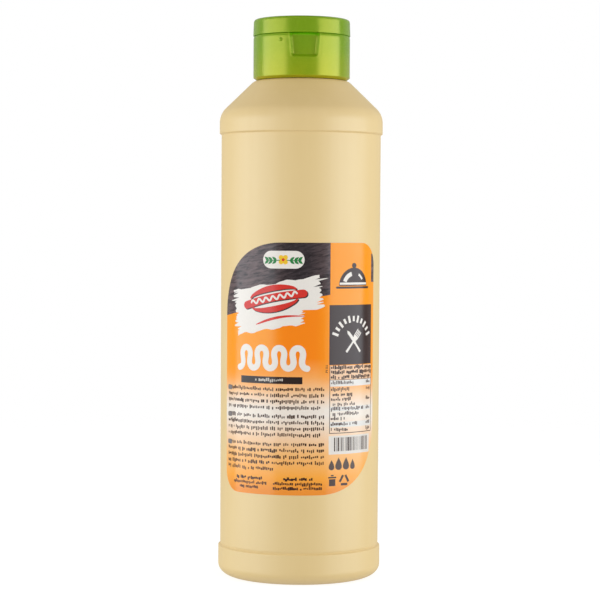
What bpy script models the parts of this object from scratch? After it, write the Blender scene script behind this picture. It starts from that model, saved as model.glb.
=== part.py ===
# A one-kilogram squeeze bottle of mustard, standing on its base, with a flip-top cap and a
# wrapped front label. It is full and shut, so the bottle is one solid. The origin is at the
# middle of the base, the label faces -Y and the bottle stands along +Z.

import math

import bmesh
import bpy
from mathutils import Matrix

MM = 0.001
CLEARANCE = 0.3 * MM  # between pieces that touch

# Bottle: radii and heights above the surface it stands on
BODY_STEPS = 80
BASE_BAND_RADIUS = 38.75 * MM
BASE_BAND_TOP = 15.0 * MM
BASE_STEP_TOP = 16.35 * MM
BASE_CORNER_WIDTH = 7.3 * MM
BASE_CORNER_HEIGHT = 5.8 * MM
FOOT_INNER_RADIUS = 27.0 * MM
PUSH_UP_HEIGHT = 3.0 * MM
PANEL_LOWER_RADIUS = 37.83 * MM
PANEL_UPPER_RADIUS = 38.04 * MM
SHOULDER_STEP_LOW = 210.2 * MM
SHOULDER_STEP_TOP = 211.5 * MM
SHOULDER_BAND_RADIUS = 38.95 * MM
SHOULDER_BAND_TOP = 216.6 * MM
SHOULDER_CORNER_RADIUS = 9.4 * MM
SHOULDER_SLOPE = math.radians(44.15)  # of the cone, from the horizontal
LAND_HEIGHT = 236.7 * MM
LAND_EDGE_RADIUS = 5.3 * MM
NECK_RADIUS = 17.0 * MM
NECK_TOP = 250.0 * MM
NECK_CHAMFER = 0.8 * MM

# Label: a wrapped leaf shape, measured along the curved surface from the front
LABEL_HALF_WIDTH = 43.0 * MM
LABEL_BOTTOM = 42.5 * MM
LABEL_TOP = 159.5 * MM
LABEL_LARGE_CORNER = 33.5 * MM  # top left and bottom right
LABEL_SMALL_CORNER = 10.5 * MM  # top right and bottom left
LABEL_THICKNESS = 0.2 * MM

# Cap base: a cup over the neck, with a thumb recess at the front
CAP_STEPS = 64
CAP_TURN = math.radians(3.5)  # of the cap's front, from the middle of the label to its right
CAP_RADIUS = 23.05 * MM
CAP_BOTTOM = LAND_HEIGHT + CLEARANCE
CAP_CHAMFER_WIDTH = 1.6 * MM
CAP_CHAMFER_HEIGHT = 1.15 * MM
CAP_BASE_TOP = 257.4 * MM
CAP_TOP_EDGE = 0.5 * MM
RECESS_TOP_HALF_WIDTH = 7.2 * MM
RECESS_BOTTOM_HALF_WIDTH = 6.25 * MM
RECESS_BOTTOM = 246.3 * MM
RECESS_CORNER = 1.7 * MM
RECESS_DEPTH = 1.9 * MM  # the floor is curved like the wall round it
RECESS_DRAFT = 1.3 * MM  # how far each side wall leans in from the mouth to the floor
PIP_RADIUS = 0.85 * MM
PIP_SIDE = -11.15 * MM
PIP_HEIGHT = 254.6 * MM

# Cap lid: a round disc with a rounded top edge and a thumb bevel over the recess
LID_BOTTOM = CAP_BASE_TOP + CLEARANCE
LID_RIM_RADIUS = 23.2 * MM
LID_UPPER_RADIUS = 22.97 * MM
LID_TOP = 265.8 * MM
LID_CROWN = 0.15 * MM
LID_TOP_EDGE = 1.4 * MM
LID_RIM_EDGE = 0.25 * MM
THUMB_BEVEL = 0.6 * MM
THUMB_BEVEL_HALF_WIDTH = 6.2 * MM

# Hinge strap: bridges base and lid in a flat pocket at the back
POCKET_HALF_WIDTH = 7.5 * MM
POCKET_BOTTOM = 252.4 * MM
POCKET_TOP = 262.4 * MM
POCKET_FLOOR = 20.6 * MM  # from the bottle's axis
STRAP_THICKNESS = 0.9 * MM
STRAP_EDGE = 0.15 * MM
FLEX_LINE_HEIGHT = (CAP_BASE_TOP + LID_BOTTOM) / 2
FLEX_LINE_DEPTH = 0.45 * MM

SHARP_ANGLE = math.radians(30)


def clear_scene():
    for obj in list(bpy.data.objects):
        bpy.data.objects.remove(obj, do_unlink=True)


def new_collection(name):
    collection = bpy.data.collections.new(name)
    bpy.context.scene.collection.children.link(collection)
    return collection


def arc(centre, radii, start, end, segments):
    """Points (radius, height) on an arc of an ellipse, from angle start to end in degrees."""
    points = []
    for i in range(segments + 1):
        angle = math.radians(start + (end - start) * i / segments)
        points.append((centre[0] + radii[0] * math.cos(angle), centre[1] + radii[1] * math.sin(angle)))
    return points


def turned(name, profile, steps, collection):
    """A shape of revolution about Z from (radius, height) points that run down its outside."""
    mesh = bpy.data.meshes.new(name)
    edges = [(i, i + 1) for i in range(len(profile) - 1)]
    mesh.from_pydata([(radius, 0, height) for radius, height in profile], edges, [])
    obj = bpy.data.objects.new(name, mesh)
    collection.objects.link(obj)
    screw = obj.modifiers.new("Turn", "SCREW")
    screw.steps = steps
    screw.render_steps = steps
    screw.use_merge_vertices = True
    screw.merge_threshold = 0.00001
    return obj


def plate(name, outline, y_near, y_far, collection):
    """A flat plate with the given outline of (x, z) points, from y_near to y_far."""
    curve = bpy.data.curves.new(name, "CURVE")
    curve.dimensions = "2D"
    curve.fill_mode = "BOTH"
    curve.extrude = (y_far - y_near) / 2
    spline = curve.splines.new("POLY")
    spline.points.add(len(outline) - 1)
    for point, (x, z) in zip(spline.points, outline):
        point.co = (x, z, 0, 1)
    spline.use_cyclic_u = True
    flat = bpy.data.objects.new(name, curve)
    collection.objects.link(flat)
    graph = bpy.context.evaluated_depsgraph_get()
    mesh = bpy.data.meshes.new_from_object(flat.evaluated_get(graph))
    bpy.data.objects.remove(flat)
    bpy.data.curves.remove(curve)
    upright = Matrix.Translation((0, (y_near + y_far) / 2, 0)) @ Matrix.Rotation(math.pi / 2, 4, "X")
    mesh.transform(upright)
    shape = bmesh.new()
    shape.from_mesh(mesh)
    bmesh.ops.remove_doubles(shape, verts=shape.verts, dist=0.00001)
    bmesh.ops.recalc_face_normals(shape, faces=shape.faces)
    shape.to_mesh(mesh)
    shape.free()
    obj = bpy.data.objects.new(name, mesh)
    collection.objects.link(obj)
    return obj


def box(name, low, high, collection):
    mesh = bpy.data.meshes.new(name)
    shape = bmesh.new()
    bmesh.ops.create_cube(shape, size=1)
    size = [b - a for a, b in zip(low, high)]
    middle = [(a + b) / 2 for a, b in zip(low, high)]
    bmesh.ops.transform(shape, matrix=Matrix.Translation(middle) @ Matrix.Diagonal((*size, 1)), verts=shape.verts)
    shape.to_mesh(mesh)
    shape.free()
    obj = bpy.data.objects.new(name, mesh)
    collection.objects.link(obj)
    return obj


def as_cutter(obj):
    obj.hide_render = True
    obj.display_type = "WIRE"
    return obj


def boolean(obj, other, operation):
    modifier = obj.modifiers.new(f"{operation.title()} {other.name}", "BOOLEAN")
    modifier.operation = operation
    modifier.object = other


def settle(obj):
    """Applies the modifiers and shades the faces smooth up to their sharp edges."""
    graph = bpy.context.evaluated_depsgraph_get()
    mesh = bpy.data.meshes.new_from_object(obj.evaluated_get(graph))
    obj.modifiers.clear()
    obj.data = mesh
    mesh.name = obj.name
    mesh.shade_smooth()
    mesh.set_sharp_from_angle(angle=SHARP_ANGLE)


def paint(obj, colour, roughness):
    material = bpy.data.materials.new(obj.name)
    material.use_nodes = True
    shader = material.node_tree.nodes["Principled BSDF"]
    shader.inputs["Base Color"].default_value = (*colour, 1)
    shader.inputs["Roughness"].default_value = roughness
    shader.inputs["Metallic"].default_value = 0
    obj.data.materials.clear()
    obj.data.materials.append(material)


def shoulder():
    """The land round the neck, the cone and the two arcs that join them to the shoulder band."""
    normal = (math.sin(SHOULDER_SLOPE), math.cos(SHOULDER_SLOPE))
    corner = (SHOULDER_BAND_RADIUS - SHOULDER_CORNER_RADIUS, SHOULDER_BAND_TOP)
    cone_low = [c + SHOULDER_CORNER_RADIUS * n for c, n in zip(corner, normal)]
    edge_height = LAND_HEIGHT - LAND_EDGE_RADIUS
    cone_top_height = edge_height + LAND_EDGE_RADIUS * normal[1]
    cone_top_radius = cone_low[0] - (cone_top_height - cone_low[1]) / math.tan(SHOULDER_SLOPE)
    edge = (cone_top_radius - LAND_EDGE_RADIUS * normal[0], edge_height)
    slope_angle = 90 - math.degrees(SHOULDER_SLOPE)
    land_arc = arc(edge, (LAND_EDGE_RADIUS, LAND_EDGE_RADIUS), 90, slope_angle, 4)
    corner_arc = arc(corner, (SHOULDER_CORNER_RADIUS, SHOULDER_CORNER_RADIUS), slope_angle, 0, 6)
    return land_arc + corner_arc


def push_up():
    """The hollow under the base, from the foot's inner edge in to the axis."""
    points = []
    segments = 5
    for i in range(segments + 1):
        across = 1 - i / segments
        rise = (1 - across**2) ** 1.5
        points.append((FOOT_INNER_RADIUS * across, PUSH_UP_HEIGHT * rise))
    return points


def make_bottle(parts):
    profile = [
        (0, NECK_TOP),
        (NECK_RADIUS - NECK_CHAMFER, NECK_TOP),
        (NECK_RADIUS, NECK_TOP - NECK_CHAMFER),
        (NECK_RADIUS, LAND_HEIGHT),
        *shoulder(),
        (SHOULDER_BAND_RADIUS, SHOULDER_STEP_TOP),
        (PANEL_UPPER_RADIUS, SHOULDER_STEP_LOW),
        (PANEL_LOWER_RADIUS, BASE_STEP_TOP),
        (BASE_BAND_RADIUS, BASE_BAND_TOP),
        *arc(
            (BASE_BAND_RADIUS - BASE_CORNER_WIDTH, BASE_CORNER_HEIGHT),
            (BASE_CORNER_WIDTH, BASE_CORNER_HEIGHT),
            0,
            -90,
            6,
        ),
        *push_up(),
    ]
    bottle = turned("bottle", profile, BODY_STEPS, parts)
    settle(bottle)
    paint(bottle, (0.69, 0.51, 0.24), 0.45)


def label_outline():
    """The label's outline as the front sees it: its width is laid round the curved panel."""
    corners = [
        (LABEL_HALF_WIDTH, LABEL_TOP, LABEL_SMALL_CORNER, 0),
        (-LABEL_HALF_WIDTH, LABEL_TOP, LABEL_LARGE_CORNER, 90),
        (-LABEL_HALF_WIDTH, LABEL_BOTTOM, LABEL_SMALL_CORNER, 180),
        (LABEL_HALF_WIDTH, LABEL_BOTTOM, LABEL_LARGE_CORNER, 270),
    ]
    outline = []
    for along, height, radius, start in corners:
        centre = (along - math.copysign(radius, along), height + math.copysign(radius, start - 135))
        outline += arc(centre, (radius, radius), start, start + 90, 8)
    wrap = PANEL_UPPER_RADIUS
    return [(wrap * math.sin(along / wrap), height) for along, height in outline]


def make_label(parts, cutters):
    radius = PANEL_UPPER_RADIUS + CLEARANCE
    margin = 5 * MM
    sleeve = [(radius, LABEL_TOP + margin), (radius, LABEL_BOTTOM - margin)]
    label = turned("label", sleeve, BODY_STEPS, parts)
    film = label.modifiers.new("Film", "SOLIDIFY")
    film.thickness = LABEL_THICKNESS
    film.offset = 1
    outline = as_cutter(plate("label_outline", label_outline(), -2 * radius, -radius / 4, cutters))
    boolean(label, outline, "INTERSECT")
    settle(label)
    paint(label, (1.0, 0.36, 0.03), 0.35)


def thumb_recess(cutters):
    """Cutter for the recess: a rounded trapezoid whose walls lean in towards a curved floor."""
    corner_width = RECESS_BOTTOM_HALF_WIDTH - RECESS_CORNER
    corner_height = RECESS_BOTTOM + RECESS_CORNER
    outline = [
        (RECESS_TOP_HALF_WIDTH, CAP_BASE_TOP + RECESS_DEPTH),
        (-RECESS_TOP_HALF_WIDTH, CAP_BASE_TOP + RECESS_DEPTH),
        *arc((-corner_width, corner_height), (RECESS_CORNER, RECESS_CORNER), 180, 270, 5),
        *arc((corner_width, corner_height), (RECESS_CORNER, RECESS_CORNER), 270, 360, 5),
    ]
    top = CAP_BASE_TOP + 2 * RECESS_DEPTH
    cutter = plate("thumb_recess", outline, -CAP_RADIUS - RECESS_DEPTH, 2 * RECESS_DEPTH - CAP_RADIUS, cutters)
    mouth = -math.sqrt(CAP_RADIUS**2 - RECESS_TOP_HALF_WIDTH**2)
    for vertex in cutter.data.vertices:
        lean = RECESS_DRAFT * (vertex.co.y - mouth) / RECESS_DEPTH
        vertex.co.x *= 1 - lean / RECESS_TOP_HALF_WIDTH
        vertex.co.z += lean
    radius = CAP_RADIUS - RECESS_DEPTH
    core = turned("recess_floor", [(0, top), (radius, top), (radius, 0), (0, 0)], CAP_STEPS, cutters)
    boolean(cutter, as_cutter(core), "DIFFERENCE")
    return as_cutter(cutter)


def pip(cutters):
    """A small round pip beside the recess."""
    mesh = bpy.data.meshes.new("pip")
    shape = bmesh.new()
    surface = -math.sqrt(CAP_RADIUS**2 - PIP_SIDE**2)
    place = Matrix.Translation((PIP_SIDE, surface, PIP_HEIGHT)) @ Matrix.Rotation(math.pi / 2, 4, "X")
    bmesh.ops.create_uvsphere(shape, u_segments=12, v_segments=8, radius=PIP_RADIUS, matrix=place)
    shape.to_mesh(mesh)
    shape.free()
    obj = bpy.data.objects.new("pip", mesh)
    cutters.objects.link(obj)
    return as_cutter(obj)


def hinge_pocket(cutters):
    low = (-POCKET_HALF_WIDTH, POCKET_FLOOR, POCKET_BOTTOM)
    high = (POCKET_HALF_WIDTH, 2 * CAP_RADIUS, POCKET_TOP)
    return as_cutter(box("hinge_pocket", low, high, cutters))


def make_cap_base(parts, cutters, pocket):
    bore_radius = NECK_RADIUS + CLEARANCE
    bore_top = NECK_TOP + CLEARANCE
    top_corner = (CAP_RADIUS - CAP_TOP_EDGE, CAP_BASE_TOP - CAP_TOP_EDGE)
    profile = [
        (0, CAP_BASE_TOP),
        *arc(top_corner, (CAP_TOP_EDGE, CAP_TOP_EDGE), 90, 0, 3),
        (CAP_RADIUS, CAP_BOTTOM + CAP_CHAMFER_HEIGHT),
        (CAP_RADIUS - CAP_CHAMFER_WIDTH, CAP_BOTTOM),
        (bore_radius, CAP_BOTTOM),
        (bore_radius, bore_top),
        (0, bore_top),
    ]
    base = turned("cap_base", profile, CAP_STEPS, parts)
    boolean(base, thumb_recess(cutters), "DIFFERENCE")
    boolean(base, pocket, "DIFFERENCE")
    boolean(base, pip(cutters), "UNION")
    settle(base)
    paint(base, (0.27, 0.46, 0.02), 0.3)


def thumb_bevel(cutters):
    """Cutter for the small bevel under the lid's front edge: a bar turned on its corner."""
    half = THUMB_BEVEL / math.sqrt(2)
    bar = box("thumb_bevel", (-THUMB_BEVEL_HALF_WIDTH, -half, -half), (THUMB_BEVEL_HALF_WIDTH, half, half), cutters)
    place = Matrix.Translation((0, -LID_RIM_RADIUS, LID_BOTTOM)) @ Matrix.Rotation(math.pi / 4, 4, "X")
    bar.data.transform(place)
    return as_cutter(bar)


def make_cap_lid(parts, cutters, pocket):
    top_corner = (LID_UPPER_RADIUS - LID_TOP_EDGE, LID_TOP - LID_CROWN - LID_TOP_EDGE)
    rim_corner = (LID_RIM_RADIUS - LID_RIM_EDGE, LID_BOTTOM + LID_RIM_EDGE)
    profile = [
        (0, LID_TOP),
        *arc(top_corner, (LID_TOP_EDGE, LID_TOP_EDGE), 90, 0, 5),
        *arc(rim_corner, (LID_RIM_EDGE, LID_RIM_EDGE), 0, -90, 2),
        (0, LID_BOTTOM),
    ]
    lid = turned("cap_lid", profile, CAP_STEPS, parts)
    boolean(lid, thumb_bevel(cutters), "DIFFERENCE")
    boolean(lid, pocket, "DIFFERENCE")
    settle(lid)
    paint(lid, (0.25, 0.43, 0.02), 0.3)


def make_cap_hinge(parts, cutters):
    back = POCKET_FLOOR + CLEARANCE
    front = back + STRAP_THICKNESS
    half_width = POCKET_HALF_WIDTH - CLEARANCE
    low = (-half_width, back, POCKET_BOTTOM + CLEARANCE)
    high = (half_width, front, POCKET_TOP - CLEARANCE)
    strap = box("cap_hinge", low, high, parts)
    groove = box(
        "flex_line",
        (-2 * half_width, -FLEX_LINE_DEPTH, -FLEX_LINE_DEPTH),
        (2 * half_width, FLEX_LINE_DEPTH, FLEX_LINE_DEPTH),
        cutters,
    )
    groove.data.transform(Matrix.Rotation(math.pi / 4, 4, "X"))
    depth_to_corner = FLEX_LINE_DEPTH * (math.sqrt(2) - 1)
    groove.data.transform(Matrix.Translation((0, front + depth_to_corner, FLEX_LINE_HEIGHT)))
    boolean(strap, as_cutter(groove), "DIFFERENCE")
    edges = strap.modifiers.new("Edges", "BEVEL")
    edges.width = STRAP_EDGE
    edges.segments = 1
    settle(strap)
    paint(strap, (0.25, 0.43, 0.02), 0.35)


def turn_cap(pieces, parts):
    """Holds the cap's pieces, and what cuts them, on an empty that points the cap's front."""
    cap = bpy.data.objects.new("cap", None)
    cap.rotation_euler.z = CAP_TURN
    parts.objects.link(cap)
    for piece in pieces:
        piece.parent = cap


clear_scene()
parts = new_collection("mustard_bottle")
cutters = new_collection("cutters")
make_bottle(parts)
make_label(parts, cutters)
below_cap = set(bpy.data.objects)
pocket = hinge_pocket(cutters)
make_cap_base(parts, cutters, pocket)
make_cap_lid(parts, cutters, pocket)
make_cap_hinge(parts, cutters)
turn_cap(set(bpy.data.objects) - below_cap, parts)
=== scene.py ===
import random
from math import asin, atan2, copysign, cos, degrees, dist, hypot, pi, radians, sin, sqrt, tan

import bmesh
import bpy
from mathutils import Matrix, Vector
from mathutils.geometry import delaunay_2d_cdt


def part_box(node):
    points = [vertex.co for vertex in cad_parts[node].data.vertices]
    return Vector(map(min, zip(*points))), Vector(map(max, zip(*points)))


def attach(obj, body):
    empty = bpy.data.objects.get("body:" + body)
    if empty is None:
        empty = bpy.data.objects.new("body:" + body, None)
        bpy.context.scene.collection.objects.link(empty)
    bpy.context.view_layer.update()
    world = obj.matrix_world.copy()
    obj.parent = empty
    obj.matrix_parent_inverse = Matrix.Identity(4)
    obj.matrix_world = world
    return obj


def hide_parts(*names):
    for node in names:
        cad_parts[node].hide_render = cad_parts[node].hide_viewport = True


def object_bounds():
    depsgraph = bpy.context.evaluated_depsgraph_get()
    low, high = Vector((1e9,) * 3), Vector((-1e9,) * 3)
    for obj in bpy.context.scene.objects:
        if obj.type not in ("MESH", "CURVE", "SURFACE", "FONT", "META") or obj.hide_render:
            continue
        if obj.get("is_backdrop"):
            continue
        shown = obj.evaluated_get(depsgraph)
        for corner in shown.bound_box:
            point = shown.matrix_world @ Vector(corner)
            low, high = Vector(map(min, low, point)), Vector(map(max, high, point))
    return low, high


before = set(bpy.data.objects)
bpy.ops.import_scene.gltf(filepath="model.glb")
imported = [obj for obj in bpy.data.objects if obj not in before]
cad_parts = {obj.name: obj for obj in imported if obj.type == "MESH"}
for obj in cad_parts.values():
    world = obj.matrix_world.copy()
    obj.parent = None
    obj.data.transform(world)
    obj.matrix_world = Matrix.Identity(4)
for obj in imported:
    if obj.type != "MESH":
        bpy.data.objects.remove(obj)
cad_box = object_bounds()

# BOTTLE
# A blow-moulded squeeze bottle, full of mustard. The satin wall is cream because the mustard
# shows through it. Two mould halves meet in a fine seam down the left and right sides, and
# the base is hollowed inside its foot ring, where the pinched-off tube leaves a short ridge.

MM = 0.001
bottle_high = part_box("bottle")[1]
NECK_TOP = bottle_high.z
NECK_RADIUS = 17.0 * MM
PANEL_RADIUS = 38.0 * MM
PANEL_TOP = 210.2 * MM
PANEL_BOTTOM = 16.35 * MM
PANEL_TAPER = 0.105 * MM  # how far the panel's ends stand out from, or in of, its mean radius
PANEL_TRIM = 0.065 * MM  # from PANEL_RADIUS in to that mean radius
SHOULDER_BAND_RADIUS = bottle_high.x
BASE_BAND_RADIUS = 38.75 * MM
SEAM_RIDGE = 0.05 * MM
SEAM_WIDTH = 0.28 * MM
SAME_POINT = 1e-7  # points closer than this are merged


def panel_radius(height):
    middle = (PANEL_TOP + PANEL_BOTTOM) / 2
    return PANEL_RADIUS - PANEL_TRIM + PANEL_TAPER * (height - middle) / (PANEL_TOP - middle)


def even(steps):
    """Shares from 0 to 1 in even steps."""
    return [k / steps for k in range(steps + 1)]


def arc(centre, radii, start, end, segments):
    """Points on an arc of an ellipse, from angle start to end in degrees."""
    points = []
    for i in range(segments + 1):
        angle = radians(start + (end - start) * i / segments)
        points.append((centre[0] + radii[0] * cos(angle), centre[1] + radii[1] * sin(angle)))
    return points


def rounded(corners, segments=5):
    """A profile through (radius, height, rounding) corners, each rounded by a curve that is
    tangent to both of its sides and has a support point just beyond each end."""
    points = []
    for i, (x, z, rounding) in enumerate(corners):
        here = Vector((x, z))
        if rounding == 0 or i in (0, len(corners) - 1):
            points.append((x, z))
            continue
        back = Vector(corners[i - 1][:2]) - here
        ahead = Vector(corners[i + 1][:2]) - here
        half_angle = back.angle(ahead) / 2
        reach = min(rounding / tan(half_angle), 0.48 * back.length, 0.48 * ahead.length)
        start = here + back.normalized() * reach
        end = here + ahead.normalized() * reach
        support = min(0.2 * MM, 0.02 * back.length)
        points.append(tuple(start + back.normalized() * support))
        for t in even(segments):
            points.append(tuple(start * (1 - t) ** 2 + here * 2 * t * (1 - t) + end * t**2))
        support = min(0.2 * MM, 0.02 * ahead.length)
        points.append(tuple(end + ahead.normalized() * support))
    return points


class Value:
    """The output of a node. Python arithmetic on it adds Math nodes to its tree."""

    def __init__(self, tree, node, output=0):
        self.tree = tree
        self.node = node
        self.socket = node.outputs[output]

    def __getitem__(self, name):
        """Another output of the same node."""
        return Value(self.tree, self.node, name)

    def maths(self, operation, *others):
        return self.tree.maths(operation, self, *others)

    def __add__(self, other):
        return self.maths("ADD", other)

    def __sub__(self, other):
        return self.maths("SUBTRACT", other)

    def __rsub__(self, other):
        return self.tree.maths("SUBTRACT", other, self)

    def __mul__(self, other):
        return self.maths("MULTIPLY", other)

    def __truediv__(self, other):
        return self.maths("DIVIDE", other)

    def __lt__(self, other):
        return self.maths("LESS_THAN", other)

    def __gt__(self, other):
        return self.maths("GREATER_THAN", other)

    def __abs__(self):
        return self.maths("ABSOLUTE")

    __radd__ = __add__
    __rmul__ = __mul__

    def ramp(self, low, high):
        """0 below low, 1 above high and a smooth rise between."""
        sockets = {0: self, 1: low, 2: high}
        return self.tree.node("ShaderNodeMapRange", sockets, interpolation_type="SMOOTHSTEP")


class Tree:
    """A node tree of a material, a light, the world or a shape."""

    def __init__(self, tree):
        self.tree = tree

    def node(self, kind, sockets=None, output=0, **settings):
        """Adds a node: its settings first, then the values or links of its sockets."""
        node = self.tree.nodes.new(kind)
        for name, value in settings.items():
            if name == "stops":
                self.set_stops(node.color_ramp.elements, value)
            else:
                setattr(node, name, value)
        self.feed(node, sockets or {})
        return Value(self, node, output) if node.outputs else node

    def feed(self, node, sockets):
        for key, value in sockets.items():
            if isinstance(value, Value):
                self.tree.links.new(value.socket, node.inputs[key])
            else:
                node.inputs[key].default_value = value

    def set_stops(self, elements, stops):
        while len(elements) < len(stops):
            elements.new(1)
        for element, (position, colour) in zip(elements, stops):
            element.position = position
            element.color = (*colour, 1)

    def maths(self, operation, *operands):
        return self.node("ShaderNodeMath", dict(enumerate(operands)), operation=operation)

    def mix(self, factor, a, b):
        """One colour over another, by a factor from 0 to 1."""
        a, b = ((*c, 1) if isinstance(c, tuple) else c for c in (a, b))
        return self.node("ShaderNodeMix", {0: factor, 6: a, 7: b}, 2, data_type="RGBA")

    def noise(self, scale, detail=2.0, stretch=(1, 1, 1), roughness=0.5, distortion=0.0, tilt=0.0):
        """Noise on the object's own coordinates, with about scale features in a metre. It can
        be tilted about Y, by an angle in degrees, and stretched."""
        place = self.place()
        if tilt:
            turn = (0, radians(tilt), 0)
            place = self.node("ShaderNodeMapping", {"Vector": place, "Rotation": turn})
        place = self.node("ShaderNodeMapping", {"Vector": place, "Scale": stretch})
        sockets = {"Vector": place, "Scale": scale, "Detail": detail}
        return self.node("ShaderNodeTexNoise", {**sockets, "Roughness": roughness, "Distortion": distortion})

    def place(self):
        """A point of the object on its own coordinates, in metres."""
        return self.node("ShaderNodeTexCoord")["Object"]

    def parts(self, vector):
        """The node whose outputs are the X, Y and Z of a vector."""
        return self.node("ShaderNodeSeparateXYZ", {0: vector})

    def vector(self, x, y, z):
        return self.node("ShaderNodeCombineXYZ", {"X": x, "Y": y, "Z": z})

    def height(self):
        return self.parts(self.place())["Z"]

    def side(self, start, end):
        """0 in the middle of the object's front and 1 beyond it on both sides."""
        return abs(self.parts(self.place())["X"]).ramp(start, end)

    def bump(self, height, distance, strength=1.0):
        return self.node("ShaderNodeBump", {"Height": height, "Distance": distance, "Strength": strength})


def added(name, data):
    """A new object of the scene."""
    obj = bpy.data.objects.new(name, data)
    bpy.context.scene.collection.objects.link(obj)
    return obj


def made(name, shape, material):
    """A smooth mesh object of one material, from a bmesh."""
    mesh = bpy.data.meshes.new(name)
    shape.to_mesh(mesh)
    shape.free()
    mesh.materials.append(material)
    mesh.shade_smooth()
    return added(name, mesh)


def new_material(name):
    """A material, its tree and its Principled shader."""
    material = bpy.data.materials.new(name)
    material.use_nodes = True
    tree = Tree(material.node_tree)
    shader = material.node_tree.nodes["Principled BSDF"]
    return material, tree, shader


def new_shape_tree(name, **inputs):
    """A Geometry Nodes tree and its input node, with the named inputs of each kind."""
    group = bpy.data.node_groups.new(name, "GeometryNodeTree")
    for kind, labels in {"Geometry": "Geometry", **inputs, "Material": "Material"}.items():
        for label in labels.split(", "):
            group.interface.new_socket(label, in_out="INPUT", socket_type=f"NodeSocket{kind}")
    group.interface.new_socket("Geometry", in_out="OUTPUT", socket_type="NodeSocketGeometry")
    tree = Tree(group)
    return tree, tree.node("NodeGroupInput")


def end_tree(tree, given, shape):
    """Ends a shape tree with its plain mesh in the given material."""
    plain = tree.node("GeometryNodeRealizeInstances", {"Geometry": shape})
    sockets = {"Geometry": plain, "Material": given["Material"]}
    tree.node("NodeGroupOutput", {"Geometry": tree.node("GeometryNodeSetMaterial", sockets)})
    return tree


def made_plain(obj):
    """Makes the shape that an object's modifiers give its own plain mesh."""
    graph = bpy.context.evaluated_depsgraph_get()
    first = obj.data
    obj.data = bpy.data.meshes.new_from_object(obj.evaluated_get(graph))
    obj.modifiers.clear()
    bpy.data.meshes.remove(first)
    obj.data.name = obj.name


def grown(name, tree, inputs, points=()):
    """A plain mesh object from a Geometry Nodes tree, its inputs and a line of points."""
    line = bpy.data.meshes.new(name)
    line.from_pydata(points, [(i, i + 1) for i in range(len(points) - 1)], [])
    obj = added(name, line)
    modifier = obj.modifiers.new("Shape", "NODES")
    modifier.node_group = tree.tree
    sockets = {item.name: item.identifier for item in tree.tree.interface.items_tree}
    for label, value in inputs.items():
        modifier[sockets[label]] = value
    made_plain(obj)
    return obj


def turning_tree():
    """Turns a profile about Z. Columns crowd together at one angle and opposite it, where a
    fine ridge can run down the surface."""
    sizes = "Crowding, Crowded angle, Ridge, Ridge width"
    tree, given = new_shape_tree("turned_piece", Int="Columns", Float=sizes)
    profile = given["Geometry"]
    rows = tree.node("GeometryNodeAttributeDomainSize", {"Geometry": profile})["Point Count"]
    sockets = {"Size X": 1.0, "Size Y": 1.0, "Vertices X": given["Columns"] + 1, "Vertices Y": rows}
    grid = tree.node("GeometryNodeMeshGrid", sockets)
    place = tree.node("GeometryNodeInputPosition")
    flat = tree.parts(place)
    turn = flat["X"] + 0.5
    row = (flat["Y"] + 0.5) * (rows - 1)
    wave = (turn * (4 * pi)).maths("SINE")
    own_angle = turn * (2 * pi) - given["Crowding"] * wave * 0.5
    angle = own_angle + given["Crowded angle"]
    sockets = {"Geometry": profile, "Value": place, "Index": row.maths("ROUND")}
    on_profile = tree.node("GeometryNodeSampleIndex", sockets, data_type="FLOAT_VECTOR", domain="POINT")
    point = tree.parts(on_profile)
    sideways = abs(own_angle.maths("SINE")) * point["X"] / given["Ridge width"]
    ridge = (1 - sideways.maths("MINIMUM", 1.0)) * given["Ridge"]
    radius = point["X"] + ridge * (point["X"] > NECK_RADIUS)
    place = tree.vector(radius * angle.maths("COSINE"), radius * angle.maths("SINE"), point["Z"])
    turned = tree.node("GeometryNodeSetPosition", {"Geometry": grid, "Position": place})
    closed = tree.node("GeometryNodeMergeByDistance", {"Geometry": turned, "Distance": SAME_POINT})
    return end_tree(tree, given, closed)


def turned(name, profile, material, columns=192, crowding=0.9, crowded_angle=0.0, ridge=0.0):
    """A closed turned piece with its faces outwards, from (radius, height) points."""
    sizes = {"Crowding": crowding, "Crowded angle": crowded_angle, "Ridge": ridge, "Ridge width": SEAM_WIDTH}
    inputs = {**sizes, "Columns": columns, "Material": material}
    obj = grown(name, TURNING, inputs, [(radius, 0, height) for radius, height in profile])
    shape = bmesh.new()
    shape.from_mesh(obj.data)
    bmesh.ops.recalc_face_normals(shape, faces=shape.faces)
    shape.to_mesh(obj.data)
    shape.free()
    obj.data.shade_smooth()
    return obj


def cream_plastic():
    material, tree, shader = new_material("cream_squeeze_plastic")
    height = tree.height()
    cream = (0.750, 0.533, 0.235)
    deeper = (0.715, 0.492, 0.200)
    paler = (0.785, 0.572, 0.268)
    clouds = tree.noise(22, detail=3.0)
    streaks = tree.noise(160, detail=2.0, stretch=(1, 1, 0.02))
    colour = tree.mix(clouds.ramp(0.35, 0.7) * 0.35, cream, deeper)
    colour = tree.mix(streaks.ramp(0.45, 0.75) * 0.18, colour, paler)
    # painted shade: the cream turns deeper at the foot and just under the cap, where less light reaches
    painted_shade_foot = 1 - height.ramp(0.0, 9 * MM)
    painted_shade_neck = height.ramp(226 * MM, 237 * MM)
    colour = tree.mix((painted_shade_foot + painted_shade_neck) * 0.35, colour, deeper)
    grain = tree.noise(900, detail=3.0)
    scuffs = tree.noise(420, detail=4.0, stretch=(1, 1, 0.15)).ramp(0.6, 0.72)
    dents = tree.bump(tree.noise(45, detail=1.0), 0.25 * MM, 0.35)
    fine = {"Height": grain, "Distance": 0.012 * MM, "Strength": 0.5, "Normal": dents}
    looks = {"Base Color": colour, "Roughness": 0.41 + grain * 0.1 + scuffs * 0.05}
    looks["Normal"] = tree.node("ShaderNodeBump", fine)
    tree.feed(shader, {**looks, "IOR": 1.5, "Specular IOR Level": 0.76})
    return material


HOLLOW_RADIUS = 27.0 * MM
HOLLOW_HEIGHT = 3.0 * MM


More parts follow.
